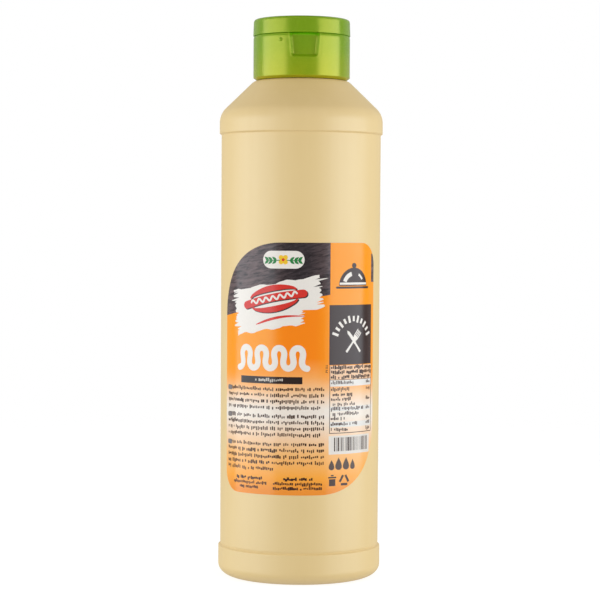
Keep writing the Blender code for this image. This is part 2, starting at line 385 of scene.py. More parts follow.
def hollow_roof(across):
    """The height of the hollow under the base, across it from 0 in the middle to 1."""
    return HOLLOW_HEIGHT * (1 - across**2) ** 1.5


def bottle_profile():
    slope = radians(44.15)
    corner_radius = 9.4 * MM
    land_edge = 5.3 * MM
    land_height = 236.7 * MM
    band_top = 216.6 * MM
    normal = (sin(slope), cos(slope))
    corner = (SHOULDER_BAND_RADIUS - corner_radius, band_top)
    cone_low = [c + corner_radius * n for c, n in zip(corner, normal)]
    edge_height = land_height - land_edge
    cone_top_height = edge_height + land_edge * normal[1]
    cone_top_radius = cone_low[0] - (cone_top_height - cone_low[1]) / tan(slope)
    edge = (cone_top_radius - land_edge * normal[0], edge_height)
    slope_angle = 90 - degrees(slope)
    neck = rounded([
        (0, NECK_TOP, 0), (NECK_RADIUS, NECK_TOP, 0.8 * MM), (NECK_RADIUS, land_height, 0.4 * MM),
        (edge[0], land_height, 0),
    ])
    shoulder = arc(edge, (land_edge, land_edge), 88, slope_angle, 9)
    shoulder += arc(corner, (corner_radius, corner_radius), slope_angle, 0, 16)
    walls = rounded([
        (SHOULDER_BAND_RADIUS, band_top - 0.4 * MM, 0), (SHOULDER_BAND_RADIUS, 211.35 * MM, 0.42 * MM),
        (panel_radius(PANEL_TOP), 210.6 * MM, 0.35 * MM),
        (panel_radius(PANEL_BOTTOM), 16.1 * MM, 0.2 * MM),
        (panel_radius(PANEL_BOTTOM) - 0.14 * MM, 15.25 * MM, 0.15 * MM),
        (BASE_BAND_RADIUS, 14.5 * MM, 0.4 * MM), (BASE_BAND_RADIUS, 6.4 * MM, 0),
    ])
    foot_corner = (7.3 * MM, 5.8 * MM)
    foot_centre = (BASE_BAND_RADIUS - foot_corner[0], foot_corner[1])
    foot = arc(foot_centre, foot_corner, 0, -90, 16)
    rings = 26
    steps = [1 - i / rings for i in range(rings + 1)]
    hollow = [(HOLLOW_RADIUS * across, hollow_roof(across)) for across in steps]
    return neck + shoulder + walls + foot + hollow


TURNING = turning_tree()
bottle = turned("bottle_body", bottle_profile(), cream_plastic(), columns=256, ridge=SEAM_RIDGE)
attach(bottle, "root")
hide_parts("bottle")


def pinch_off_ridge():
    """A low rounded bar across the middle of the hollow under the base."""
    half_length = 15.0 * MM
    half_width = 0.45 * MM
    rise = 0.3 * MM
    along_steps = 24
    round_steps = 6
    shape = bmesh.new()
    rows = []
    for i in range(along_steps + 1):
        x = half_length * (2 * i / along_steps - 1)
        roof = hollow_roof(abs(x) / HOLLOW_RADIUS)
        swell = sqrt(max(0.0, 1 - (x / half_length) ** 6))
        row = []
        for k in range(2 * round_steps):
            angle = pi * k / round_steps
            y = half_width * swell * cos(angle)
            z = roof + rise * swell * sin(angle)
            row.append(shape.verts.new((x, y, z)))
        rows.append(row)
    for a, b in zip(rows, rows[1:]):
        for k in range(2 * round_steps):
            n = (k + 1) % (2 * round_steps)
            shape.faces.new((a[k], a[n], b[n], b[k]))
    bmesh.ops.remove_doubles(shape, verts=shape.verts, dist=SAME_POINT)
    bmesh.ops.recalc_face_normals(shape, faces=shape.faces)
    return made("base_pinch_off", shape, bottle.data.materials[0])


ridge = pinch_off_ridge()
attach(ridge, "root")

# LABEL FILM
# A self-adhesive printed film, wrapped round the front of the panel. It is cut to a leaf
# shape, with two large round corners and two small ones. The print starts as an even orange
# that pales to cream behind the small print and comes back below it.

LABEL_HALF_WIDTH = 43.0 * MM
LABEL_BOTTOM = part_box("label")[0].z
LABEL_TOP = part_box("label")[1].z
LABEL_LARGE_CORNER = 33.5 * MM
LABEL_SMALL_CORNER = 10.5 * MM
FILM_LIFT = 0.1 * MM
INK_LIFT = 0.02 * MM
INK_DEPTH = 1.5 * INK_LIFT
COLUMN_WIDTH = 1.0 * MM


def wrapped(along, height, lift):
    """The point over the panel at a distance round from the front, a height and a lift."""
    radius = panel_radius(height) + lift
    angle = along / PANEL_RADIUS
    return Vector((radius * sin(angle), -radius * cos(angle), height))


def laid_on(name, outlines, lift, thickness, material):
    """Flat outlines of (along, height) points as thin film that follows the curved panel.
    Where outlines overlap they become one film."""
    corners = []
    loops = []
    for outline in outlines:
        loop = list(range(len(corners), len(corners) + len(outline)))
        corners += [Vector(point) / MM for point in outline]
        turned_area = sum(corners[a].cross(corners[b]) for a, b in zip(loop, loop[1:] + loop[:1]))
        loops.append(loop if turned_area > 0 else loop[::-1])
    places, _, triangles, _, _, sources = delaunay_2d_cdt(corners, [], loops, 1, 1e-5)
    shape = bmesh.new()
    spots = [shape.verts.new((place.x * MM, 0, place.y * MM)) for place in places]
    for triangle, source in zip(triangles, sources):
        if source:
            shape.faces.new([spots[k] for k in triangle])
    unused = [spot for spot in spots if not spot.link_faces]
    bmesh.ops.delete(shape, geom=unused, context="VERTS")
    widest = max(abs(vertex.co.x) for vertex in shape.verts)
    for i in range(-int(widest / COLUMN_WIDTH), int(widest / COLUMN_WIDTH) + 1):
        everything = shape.verts[:] + shape.edges[:] + shape.faces[:]
        cut = (i * COLUMN_WIDTH, 0, 0)
        bmesh.ops.bisect_plane(shape, geom=everything, dist=SAME_POINT, plane_co=cut, plane_no=(1, 0, 0))
    for vertex in shape.verts:
        vertex.co = wrapped(vertex.co.x, vertex.co.z, lift)
    shape.normal_update()
    for face in shape.faces:
        middle = face.calc_center_median()
        if face.normal.x * middle.x + face.normal.y * middle.y < 0:
            face.normal_flip()
    obj = made(name, shape, material)
    thick = obj.modifiers.new("Film", "SOLIDIFY")
    thick.thickness = thickness
    thick.offset = -1
    made_plain(obj)
    obj.data.set_sharp_from_angle(angle=radians(35))
    return obj


def leaf_outline():
    corners = [
        (LABEL_HALF_WIDTH, LABEL_TOP, LABEL_SMALL_CORNER, 0),
        (-LABEL_HALF_WIDTH, LABEL_TOP, LABEL_LARGE_CORNER, 90),
        (-LABEL_HALF_WIDTH, LABEL_BOTTOM, LABEL_SMALL_CORNER, 180),
        (LABEL_HALF_WIDTH, LABEL_BOTTOM, LABEL_LARGE_CORNER, 270),
    ]
    outline = []
    for along, height, radius, start in corners:
        centre = (along - copysign(radius, along), height + copysign(radius, start - 135))
        outline += arc(centre, (radius, radius), start, start + 90, 20)
    return outline


def film_finish(shader, tree, colour):
    """An ink's colour, with the gloss that all inks on the film share and its faint waves."""
    waves = tree.noise(60, detail=1.0)
    looks = {"Roughness": 0.2 + waves * 0.06, "Normal": tree.bump(waves, 0.08 * MM, 0.4)}
    tree.feed(shader, {**looks, "IOR": 1.5, "Specular IOR Level": 0.3, "Base Color": colour})


def ink(name, colour, speckle=0.03):
    """A plain ink: its colour with a fine printed grain."""
    material, tree, shader = new_material(name)
    darker = tuple(c * (1 - 3 * speckle) for c in colour)
    grain = tree.noise(1500, detail=1.0)
    film_finish(shader, tree, tree.mix(grain.ramp(0.3, 0.8), colour, darker))
    return material


def orange_film():
    material, tree, shader = new_material("orange_label_print")
    height = tree.height()
    orange = (0.93, 0.220, 0.0)
    light_orange = (0.93, 0.365, 0.042)
    cream = (0.84, 0.735, 0.63)
    span = LABEL_TOP - LABEL_BOTTOM
    stops = [
        (44.0, (0.84, 0.265, 0.028)), (50.5, light_orange), (62.0, (0.90, 0.472, 0.17)), (79.0, cream),
        (82.5, cream), (90.5, (0.90, 0.53, 0.27)), (97.3, (0.93, 0.37, 0.09)), (106.0, orange),
    ]
    stops = [((z * MM - LABEL_BOTTOM) / span, colour) for z, colour in stops]
    fade = tree.node("ShaderNodeValToRGB", {0: (height - LABEL_BOTTOM) / span}, stops=stops)
    # painted sheen: towards both sides of the upper label the orange turns lighter and yellower, standing in
    # for the side lights' shine on the film
    side = tree.side(6 * MM, 17 * MM)
    fade_with_painted_sheen = tree.mix(side * height.ramp(88 * MM, 104 * MM), fade, (0.93, 0.300, 0.0))
    grain = tree.noise(1500, detail=1.0)
    film_finish(shader, tree, tree.mix(grain.ramp(0.3, 0.8) * 0.06, fade_with_painted_sheen, (0.75, 0.22, 0.01)))
    return material


film = laid_on("label_film", [leaf_outline()], FILM_LIFT, 0.08 * MM, orange_film())
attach(film, "root")
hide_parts("label")


def printed(name, outlines, layer, material):
    """Ink on the film: outlines in mm, on the given layer of ink."""
    in_metres = [[(along * MM, height * MM) for along, height in outline] for outline in outlines]
    lift = FILM_LIFT + layer * INK_LIFT
    obj = laid_on(name, in_metres, lift, INK_DEPTH, material)
    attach(obj, "root")


def bar(left, bottom, right, top, rounding=0.0):
    """A rectangle in mm, with round corners if asked."""
    if rounding == 0:
        return [(left, bottom), (right, bottom), (right, top), (left, top)]
    r = (rounding, rounding)
    return [
        *arc((right - rounding, top - rounding), r, 0, 90, 6),
        *arc((left + rounding, top - rounding), r, 90, 180, 6),
        *arc((left + rounding, bottom + rounding), r, 180, 270, 6),
        *arc((right - rounding, bottom + rounding), r, 270, 360, 6),
    ]


def stroke(line, width):
    """The outline in mm of a pen stroke along a line, whose width may be a function of 0 to 1."""
    widths = [width(i / (len(line) - 1)) if callable(width) else width for i in range(len(line))]
    left, right = [], []
    for i, (x, z) in enumerate(line):
        ahead = Vector(line[min(i + 1, len(line) - 1)])
        behind = Vector(line[max(i - 1, 0)])
        along = (ahead - behind).normalized()
        across = Vector((-along.y, along.x)) * widths[i] / 2
        left.append((x + across.x, z + across.y))
        right.append((x - across.x, z - across.y))
    ends = round_end(line[-1], left[-1], right[-1]), round_end(line[0], right[0], left[0])
    return left + ends[0] + right[::-1] + ends[1]


def round_end(centre, start, end):
    """Points of the half circle that closes a stroke, from start to end round its far side."""
    radius = dist(start, end) / 2
    first = atan2(start[1] - centre[1], start[0] - centre[0])
    return [
        (centre[0] + radius * cos(first - a), centre[1] + radius * sin(first - a))
        for a in (pi * k / 8 for k in range(1, 8))
    ]


def placed(outline, centre, turn=0.0, size=1.0):
    """An outline turned by some degrees, sized and moved to a centre in mm."""
    c, s = cos(radians(turn)) * size, sin(radians(turn)) * size
    return [(centre[0] + c * x - s * z, centre[1] + s * x + c * z) for x, z in outline]


# CHARCOAL FIELD
# The dark top left of the print, down to a slanting lower edge. It is printed with a fine
# slate-like texture. A narrow strip of the same ink shows where the print wraps at the right.


def slate_ink():
    material, tree, shader = new_material("slate_textured_ink")
    dark, grey, pale = (0.009, 0.005, 0.006), (0.043, 0.030, 0.033), (0.110, 0.088, 0.094)
    clouds = tree.noise(90, detail=2.0, stretch=(0.5, 0.5, 1.6), tilt=14)
    streaks = tree.noise(560, detail=3.0, stretch=(0.32, 0.32, 1.7), roughness=0.6, distortion=0.4, tilt=14)
    flecks = tree.noise(1300, detail=2.0, stretch=(0.5, 0.5, 1.3), tilt=14)
    # painted sheen: towards both sides the slate's streaks turn lighter, standing in for the side lights'
    # shine on the film
    side = tree.side(1 * MM, 21 * MM)
    colour = tree.mix(streaks.ramp(0.3, 0.75) * 0.7 + clouds.ramp(0.3, 0.7) * 0.3, dark, grey)
    colour = tree.mix(side * streaks.ramp(0.2, 0.8), colour, (0.175, 0.112, 0.106))
    colour = tree.mix(flecks.ramp(0.55, 0.8) * 0.35, colour, pale)
    film_finish(shader, tree, colour)
    return material


FIELD_RIGHT = 14.2
FIELD_LOW_LEFT, FIELD_LOW_RIGHT = 125.0, 135.5
STRIP_LEFT = 40.4
STRIP_BOTTOM, STRIP_TOP = 141.2, 154.5
LEAF_RIGHT = LABEL_HALF_WIDTH / MM


def charcoal_outline():
    edge = [(x / MM, z / MM) for x, z in leaf_outline()]
    top_left = [(x, z) for x, z in edge if x < 0 and z > 100]
    low_edge = [(-LEAF_RIGHT, FIELD_LOW_LEFT), (FIELD_RIGHT, FIELD_LOW_RIGHT)]
    return [*low_edge, (FIELD_RIGHT, LABEL_TOP / MM), *top_left]


def wrap_strip_outline():
    edge = [(x / MM, z / MM) for x, z in leaf_outline() if x > 0 and z > 100 * MM]
    side = [(x, z) for x, z in edge if x > STRIP_LEFT and z < STRIP_TOP]
    low_edge = [(STRIP_LEFT, STRIP_BOTTOM), (LEAF_RIGHT, STRIP_BOTTOM)]
    return [*low_edge, *side, (STRIP_LEFT, side[-1][1])]


slate = slate_ink()
printed("print_charcoal_field", [charcoal_outline(), wrap_strip_outline()], 1, slate)

# BADGE
# A white pill near the top of the charcoal field, with a sprig of mustard leaves and a
# yellow flower in its middle, in flat inks.

BADGE = (-8.0, 151.6)


def leaf(length, width):
    upper = [(length * t, width / 2 * sin(pi * t**0.8)) for t in even(10)]
    lower = [(x, -z) for x, z in upper[-2:0:-1]]
    return upper[::-1] + lower[::-1]


def petal_ring(radius, petals):
    points = []
    for k in range(48):
        angle = 2 * pi * k / 48
        reach = radius * (0.62 + 0.38 * abs(cos(petals * angle / 2)))
        points.append((reach * cos(angle), reach * sin(angle)))
    return points


white_ink = ink("white_label_ink", (0.81, 0.73, 0.65), speckle=0.01)
green_ink = ink("leaf_green_ink", (0.022, 0.20, 0.045))
yellow_ink = ink("mustard_yellow_ink", (0.86, 0.52, 0.03))
red_ink = ink("red_label_ink", (0.66, 0.030, 0.020))

printed("badge_ground", [placed(bar(-9.9, -4.1, 9.9, 4.1, 4.05), BADGE)], 2, white_ink)
leaves = []
for side in (-1, 1):
    stem = [(BADGE[0] + side * x, BADGE[1] - 0.4 * sin(x / 3)) for x in (1.8 + 0.5 * k for k in range(14))]
    leaves.append(stroke(stem, 0.4))
    for along in (3.2, 5.2, 7.0):
        for tilt in (38, -38):
            root = (BADGE[0] + side * along, BADGE[1] - 0.4 * sin(along / 3))
            shape = leaf(2.7, 1.25)
            leaves.append(placed(shape, root, tilt if side > 0 else 180 - tilt))
printed("badge_leaves", leaves, 3, green_ink)
printed("badge_flower", [placed(petal_ring(2.6, 4), BADGE, 45)], 3, yellow_ink)
printed("badge_flower_eye", [placed(petal_ring(0.8, 5), BADGE)], 4, red_ink)

# BRUSHED PATCH
# A broad slanting swipe of off-white paint across the charcoal and the orange, with frayed
# ends. On it is a red sausage in its bun with a line of mustard, and a red swoosh below.

PATCH_CENTRE = (-12.5, 130.0)
PATCH_TILT = 9.5


def frayed_swipe(half_length, half_height, fray, bristles, seed):
    """A swipe of paint: two gently wavy long sides and ends torn into uneven bristle points."""
    draw = random.Random(seed)
    outline = []
    for side in (1, -1):
        for k in range(25):
            x = side * half_length * (1 - k / 12)
            wave = 0.45 * sin(0.85 * k + side) + draw.uniform(-0.22, 0.22)
            outline.append((x, side * half_height + wave))
        widths = [draw.uniform(0.35, 1.5) for _ in range(bristles)]
        scale = 2 * half_height / sum(widths)
        z = side * half_height
        for width in widths:
            step = side * width * scale
            reach = draw.uniform(-0.5, 1.0) ** 3 * fray
            outline.append((-side * (half_length + reach), z - 0.3 * step))
            outline.append((-side * (half_length + 0.8 * reach - 0.25), z - 0.62 * step))
            outline.append((-side * (half_length - draw.uniform(0.2, 0.9) * fray), z - 0.9 * step))
            z -= step
        outline.pop()
    return outline


patch_upper = (PATCH_CENTRE[0], PATCH_CENTRE[1] + 3.2)
patch_lower = (PATCH_CENTRE[0] - 3.5, PATCH_CENTRE[1] - 6.6)
patch = [
    placed(frayed_swipe(23.0, 7.4, 4.2, 9, 5), patch_upper, PATCH_TILT),
    placed(frayed_swipe(17.8, 4.2, 3.6, 6, 9), patch_lower, PATCH_TILT),
]
printed("brushed_patch", patch, 2, white_ink)

shadow_ink = ink("soft_black_ink", (0.035, 0.022, 0.022))


def sausage_and_bun():
    """(bun halves, sausage, mustard line), about the middle of the motif, in mm."""
    upper = [(-12.2 + 24.4 * t, 2.7 + 2.5 * sin(pi * t) ** 0.6) for t in even(24)]
    lower = [(x * 0.98, -z) for x, z in upper]
    buns = [stroke(half, lambda t: 1.0 + 2.0 * sin(pi * t)) for half in (upper, lower)]
    body = [(-15.6 + 31.2 * t, 0.9 * sin(pi * t) - 0.4) for t in even(24)]
    sausage = stroke(body, 3.9)
    zigzag = [(-12.4 + 24.8 * t, 0.95 * sin(13 * pi * t) + 0.3) for t in even(130)]
    return buns, sausage, stroke(zigzag, 0.95)


MOTIF = (-12.8, 133.6)
buns, sausage, mustard_line = sausage_and_bun()
MOTIF_TURN = 11.5
MOTIF_SIZE = 0.93
MOTIF_SHADOW = (MOTIF[0] + 0.5, MOTIF[1] - 0.4)
motif = (*buns, sausage)
shadows = [placed(shape, MOTIF_SHADOW, MOTIF_TURN, MOTIF_SIZE) for shape in motif]
printed("motif_shadow", shadows, 3, shadow_ink)
printed("motif_red", [placed(shape, MOTIF, MOTIF_TURN, MOTIF_SIZE) for shape in motif], 4, red_ink)
printed("motif_mustard_line", [placed(mustard_line, MOTIF, MOTIF_TURN, MOTIF_SIZE)], 5, white_ink)
swoosh = [(-21.5 + 23.5 * t, 121.4 + 4.2 * t + 1.5 * sin(pi * t)) for t in even(30)]
printed("motif_swoosh", [stroke(swoosh, lambda t: 0.25 + 0.95 * sin(pi * t**0.7))], 4, red_ink)

# SQUEEZED LINE
# A bold white line of squeezed mustard, looped like a spring, fills the space under the
# patch. A dark bar lies below it with a row of tiny pale marks.


def squeezed_line():
    """A line that winds like a river: its direction swings evenly from side to side."""
    swing = radians(101)
    period = 24.2
    periods = 4
    steps = 72
    step = period / steps
    x, z = -31.6, 101.3
    line = [(x, z)]
    for k in range(periods * steps):
        direction = swing * sin(2 * pi * (k + 0.5) / steps)
        x += step * cos(direction)
        z += step * sin(direction)
        line.append((x, z))
    return stroke(line, 2.9)


printed("squeezed_line", [squeezed_line()], 2, white_ink)
bar_ink = ink("dark_brown_ink", (0.022, 0.010, 0.007))
printed("dark_bar", [bar(-30.5, 94.1, 1.2, 97.4)], 1, bar_ink)

# SMALL PRINT
# Paragraphs of tiny abstract marks in rows, grouped like words, in a dark brown ink. Each
# mark is a small raised block of ink, and the rows wrap round the bottle with the film.


def small_print_tree():
    """Rows of word-like groups of marks, wrapped on to the panel. Sizes are in metres."""
    sizes = "Left, Top, Mark pitch, Row pitch, Mark height, Boldness"
    shares = "Last row share, Raggedness, Space share"
    counts = "Marks in a row, Rows, Seed"
    tree, given = new_shape_tree("small_print", Int=counts, Float=f"{sizes}, {shares}, Lift")
    per_row = given["Marks in a row"]
    count = per_row * given["Rows"]
    index = tree.node("GeometryNodeInputIndex")
    row = ((index + 0.5) / per_row).maths("FLOOR")
    column = index - row * per_row

    def draw(low, high, by, channel):
        """A random number for each mark or row, on its own channel of the seed."""
        sockets = {"ID": by, "Seed": given["Seed"] * 16 + channel}
        node = tree.node("FunctionNodeRandomValue", sockets, 1, data_type="FLOAT")
        return node * (high - low) + low

    share = 1 - draw(0.0, 1.0, row, 1) * given["Raggedness"]
    last = (row + 1.5) > given["Rows"]
    share = share * (1 - last) + last * given["Last row share"]
    centring = (1 - share) * 0.5 * (given["Raggedness"] > 0.01)
    beyond = (column + 0.5) > (share * per_row)
    space = draw(0.0, 1.0, index, 2) < given["Space share"]
    space_before = draw(0.0, 1.0, index - 1, 2) < given["Space share"]
    gone = beyond + space * (1 - space_before)
    word = ((index + row * 3) / 8).maths("FLOOR")
    bold = draw(0.0, 1.0, word, 3) < 0.22
    tall = draw(0.0, 1.0, index, 4)
    riser = tall > 0.66
    tail = tall < 0.10
    height = given["Mark height"] * (draw(0.55, 1.0, index, 6) + (riser + tail) * 0.38)
    shift = given["Mark height"] * ((riser - tail) * 0.19 + draw(-0.12, 0.12, index, 7))
    width = given["Mark pitch"] * draw(0.42, 0.66, index, 5) * given["Boldness"] * (1 + bold * 0.22)
    along = given["Left"] + (column + centring * per_row + 0.5) * given["Mark pitch"]
    place = tree.vector(along, 0.0, given["Top"] - (row + 0.5) * given["Row pitch"] + shift)
    return wrapped_blocks(tree, given, count, place, width, height, gone)


def wrapped_blocks(tree, given, count, place, width, height, gone=False, cuts=2, turn=(0, 0, 0)):
    """Ends a tree with count blocks of ink less the gone ones, wrapped round the panel."""
    points = tree.node("GeometryNodePoints", {"Count": count})
    points = tree.node("GeometryNodeSetPosition", {"Geometry": points, "Position": place})
    sockets = {"Geometry": points, "Selection": gone}
    points = tree.node("GeometryNodeDeleteGeometry", sockets, domain="POINT")
    sockets = {"Size": (1, 1, 1), "Vertices X": cuts, "Vertices Z": cuts}
    block = tree.node("GeometryNodeMeshCube", sockets)
    size = tree.vector(width, INK_DEPTH, height)
    sockets = {"Points": points, "Instance": block, "Rotation": turn, "Scale": size}
    marks = tree.node("GeometryNodeInstanceOnPoints", sockets)
    marks = tree.node("GeometryNodeRealizeInstances", {"Geometry": marks})
    at = tree.parts(tree.node("GeometryNodeInputPosition"))
    middle = (PANEL_TOP + PANEL_BOTTOM) / 2
    taper = (at["Z"] - middle) * (PANEL_TAPER / (PANEL_TOP - middle))
    radius = taper + given["Lift"] + (PANEL_RADIUS - PANEL_TRIM) - at["Y"]
    angle = at["X"] / PANEL_RADIUS
    ahead = 0 - radius * angle.maths("COSINE")
    place = tree.vector(radius * angle.maths("SINE"), ahead, at["Z"])
    wrapped_marks = tree.node("GeometryNodeSetPosition", {"Geometry": marks, "Position": place})
    return end_tree(tree, given, wrapped_marks)


def grown_print(name, tree, layer, material, inputs):
    """A printed piece from a shape tree, on the given layer of ink."""
    lift = FILM_LIFT + layer * INK_LIFT
    obj = grown(name, tree, {"Lift": lift, "Material": material, **inputs})
    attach(obj, "root")


SMALL_PRINT = small_print_tree()
text_ink = ink("small_print_ink", (0.052, 0.020, 0.010))
pale_ink = ink("pale_mark_ink", (0.60, 0.52, 0.45))
tag_ink = ink("grey_tag_ink", (0.21, 0.18, 0.17))


def paragraph(
    name, left, right, top, rows, seed, pitch=0.92, row_pitch=2.88, height=1.35, boldness=1.12, last=0.8,
    ragged=0.0, spaces=0.17, material=text_ink,
):
    """A block of small print between two sides, from the top of its first row, in mm."""
    lengths = {"Left": left, "Top": top, "Mark pitch": pitch, "Row pitch": row_pitch, "Mark height": height}
    counts = {"Marks in a row": round((right - left) / pitch), "Rows": rows, "Seed": seed}
    shares = {"Boldness": boldness, "Last row share": last, "Raggedness": ragged, "Space share": spaces}
    in_metres = {label: length * MM for label, length in lengths.items()}
    grown_print(name, SMALL_PRINT, 2, material, {**in_metres, **counts, **shares})


paragraph("small_print_first", -40.8, 12.0, 93.0, 4, 11, last=0.96)
paragraph("small_print_second", -40.8, 12.0, 80.4, 4, 12, last=0.98)
paragraph("small_print_third", -40.8, 12.0, 67.4, 5, 13, last=0.55)
heading = {"row_pitch": 2.1, "height": 1.3, "boldness": 1.5, "last": 1.0, "spaces": 0.08}
foot = {"row_pitch": 2.1, "pitch": 0.8, "height": 1.15, "boldness": 1.25, "spaces": 0.1}
paragraph("foot_heading_left", -33.5, -17.5, 50.9, 1, 18, **heading)
paragraph("foot_heading_right", -7.5, 6.5, 50.9, 1, 20, **heading)
paragraph("small_print_foot_left", -36.0, -15.0, 48.7, 2, 14, ragged=0.2, last=0.55, **foot)
paragraph("small_print_foot_right", -13.5, 12.5, 48.7, 2, 15, ragged=0.1, last=0.92, **foot)
bar_style = {"row_pitch": 1.8, "pitch": 0.95, "height": 1.2, "last": 1.0, "spaces": 0.07}
paragraph("dark_bar_marks", -22.0, -7.5, 96.65, 1, 16, material=pale_ink, **bar_style)
batch_style = {"row_pitch": 1.0, "pitch": 0.55, "height": 0.62, "last": 1.0, "spaces": 0.0}
paragraph("batch_mark_column", 12.1, 13.2, 103.0, 4, 17, **batch_style)
tags = [bar(-41.2, top - 2.2, -37.5, top, 0.8) for top in (92.5, 79.9, 66.9)]
printed("paragraph_tags", tags, 3, tag_ink)

# RIGHT COLUMN
# A dark panel with a crossed knife and fork under an arc of rays, and a serving dome above
# it. Below are a ruled table, a bar code, four sauce drops and two disposal marks, all printed.

panel_ink = ink("warm_grey_ink", (0.039, 0.018, 0.014), speckle=0.02)
printed("dark_panel", [bar(13.9, 102.9, 40.6, 130.7)], 1, panel_ink)


def knife():
    """A table knife standing up, its handle's end at the origin, in mm."""
    blade = [(0.75, 5.6), (0.95, 8.8), (0.75, 12.2), (0.1, 13.3), (-0.62, 12.0), (-0.62, 5.6)]
    return [(-0.62, 0.3), (-0.3, 0.0), (0.3, 0.0), (0.62, 0.3), (0.5, 5.0), *blade, (-0.42, 5.0)]


def fork():
    """A table fork standing up, its handle's end at the origin, in mm."""
    outline = [(-0.62, 0.3), (-0.3, 0.0), (0.3, 0.0), (0.62, 0.3), (0.42, 6.6), (1.15, 7.8), (1.55, 9.2)]
    tine_width = 0.5
    for k in range(4):
        right = 1.55 - k * 0.87
        left = right - tine_width
        outline += [(right, 12.9), (right - 0.25, 13.2), (left, 12.9)]
        if k < 3:
            outline += [(left, 9.7), (right - 0.87, 9.7)]
    return outline + [(-1.56, 9.2), (-1.15, 7.8), (-0.42, 6.6)]


CUTLERY_LEFT = (22.9, 108.7)
CUTLERY_RIGHT = (31.6, 108.7)
printed("crossed_fork", [placed(fork(), CUTLERY_LEFT, -40, 0.98)], 2, white_ink)
printed("crossed_knife", [placed(knife(), CUTLERY_RIGHT, 40, 0.98)], 3, white_ink)


def arc_marks_tree():
    """Marks set at even steps along an arc and turned with it, wrapped on to the panel."""
    sizes = "Radius, Start, Sweep, Mark size, Lift"
    tree, given = new_shape_tree("arc_of_marks", Vector="Centre", Int="Marks", Float=sizes)
    index = tree.node("GeometryNodeInputIndex")
    angle = given["Start"] + given["Sweep"] * index / (given["Marks"] - 1)
    centre = tree.parts(given["Centre"])
    along = centre["X"] + given["Radius"] * angle.maths("COSINE")
    place = tree.vector(along, 0.0, centre["Z"] + given["Radius"] * angle.maths("SINE"))
    turn = tree.vector(0.0, 0 - angle, 0.0)
    length = given["Mark size"] * (1 - index.maths("MODULO", 2.0) * 0.25)
    width = given["Mark size"] * 0.36
    return wrapped_blocks(tree, given, given["Marks"], place, length, width, cuts=5, turn=turn)


sweep = {"Start": radians(160), "Sweep": radians(-140), "Marks": 11}
sizes = {"Centre": (27.2 * MM, 0, 113.4 * MM), "Radius": 10.9 * MM, "Mark size": 3.3 * MM}
grown_print("arc_of_rays", arc_marks_tree(), 2, white_ink, {**sweep, **sizes})

DOME = (27.3, 139.6)
dome_outline = arc((0, 0), (8.6, 8.4), 0, 180, 28)
shine_outline = arc((0, 0), (6.9, 6.7), 105, 160, 12) + arc((0, 0), (4.9, 4.7), 160, 105, 12)
printed("serving_dome", [placed(dome_outline, DOME)], 2, panel_ink)
glint = arc((0, 0), (6.6, 6.4), 30, 62, 8) + arc((0, 0), (5.6, 5.4), 62, 30, 8)
shines = [placed(shape, DOME) for shape in (shine_outline, bar(-8.3, 0.5, 8.3, 1.5), glint)]
printed("serving_dome_shine", shines, 3, white_ink)
knob = arc((0, 9.4), (1.35, 1.25), 0, 360, 18)[:-1]
tray = (bar(-10.2, -1.3, 10.2, -0.35, 0.45), knob, bar(-0.4, 8.2, 0.4, 8.9))
printed("serving_dome_tray", [placed(shape, DOME) for shape in tray], 3, panel_ink)

TABLE_LEFT, TABLE_RIGHT = 14.1, 40.9
TABLE_BOTTOM, TABLE_TOP = 71.0, 102.6
table_white = ink("table_white_ink", (0.755, 0.695, 0.635), speckle=0.01)
table_ink = ink("table_text_ink", (0.085, 0.045, 0.032))
heights = [(92.9, 95.8), (81.4, 83.4), (73.9, 76.3)]
white_rows = [bar(TABLE_LEFT, low, TABLE_RIGHT, high) for low, high in heights]
printed("table_white_rows", white_rows, 1, table_white)
peach_ink = ink("peach_table_ink", (0.84, 0.52, 0.31), speckle=0.01)
printed("table_heading_ground", [bar(TABLE_LEFT, 95.9, TABLE_RIGHT, TABLE_TOP)], 1, peach_ink)
RULE = 0.3
rules = [
    bar(TABLE_LEFT, TABLE_BOTTOM, TABLE_LEFT + RULE, TABLE_TOP),
    bar(TABLE_RIGHT - RULE, TABLE_BOTTOM, TABLE_RIGHT, TABLE_TOP),
    bar(TABLE_LEFT + RULE, TABLE_BOTTOM, TABLE_RIGHT - RULE, TABLE_BOTTOM + RULE),
    bar(TABLE_LEFT + RULE, 95.85, TABLE_RIGHT - RULE, 96.05),
]
printed("table_rule_top", rules, 2, text_ink)
bold_style = {"row_pitch": 2.2, "height": 1.4, "boldness": 1.45, "last": 0.97, "spaces": 0.1}
paragraph("table_heading", 14.7, 40.3, 102.6, 3, 21, **bold_style)
row_style = {"pitch": 0.85, "row_pitch": 2.3, "height": 1.3, "last": 1.0, "material": table_ink}
tops = (95.6, 92.6, 90.1, 87.9, 85.7, 83.5, 81.2, 79.0, 76.4, 73.8)
shares = (0.62, 0.5, 0.5, 0.5, 0.55, 0.86, 0.7, 0.35, 0.68, 0.42)
rows_without_value = (2, 4, 6)
for number, (top, share) in enumerate(zip(tops, shares)):
    row, value = f"table_row_{number:02d}", f"table_value_{number:02d}"
    indent = 0.9 if number in rows_without_value else 0.0
    right = 15.0 + 22.0 * share + indent
    paragraph(row, 14.7 + indent, right, top, 1, 30 + number, spaces=0.12, **row_style)
    if not indent:
        paragraph(value, 36.2, 39.4, top, 1, 50 + number, spaces=0.0, **row_style)

code_ground = ink("bar_code_ground_ink", (0.73, 0.65, 0.575), speckle=0.01)
printed("bar_code_ground", [bar(13.9, 61.3, 39.2, 69.9)], 1, code_ground)


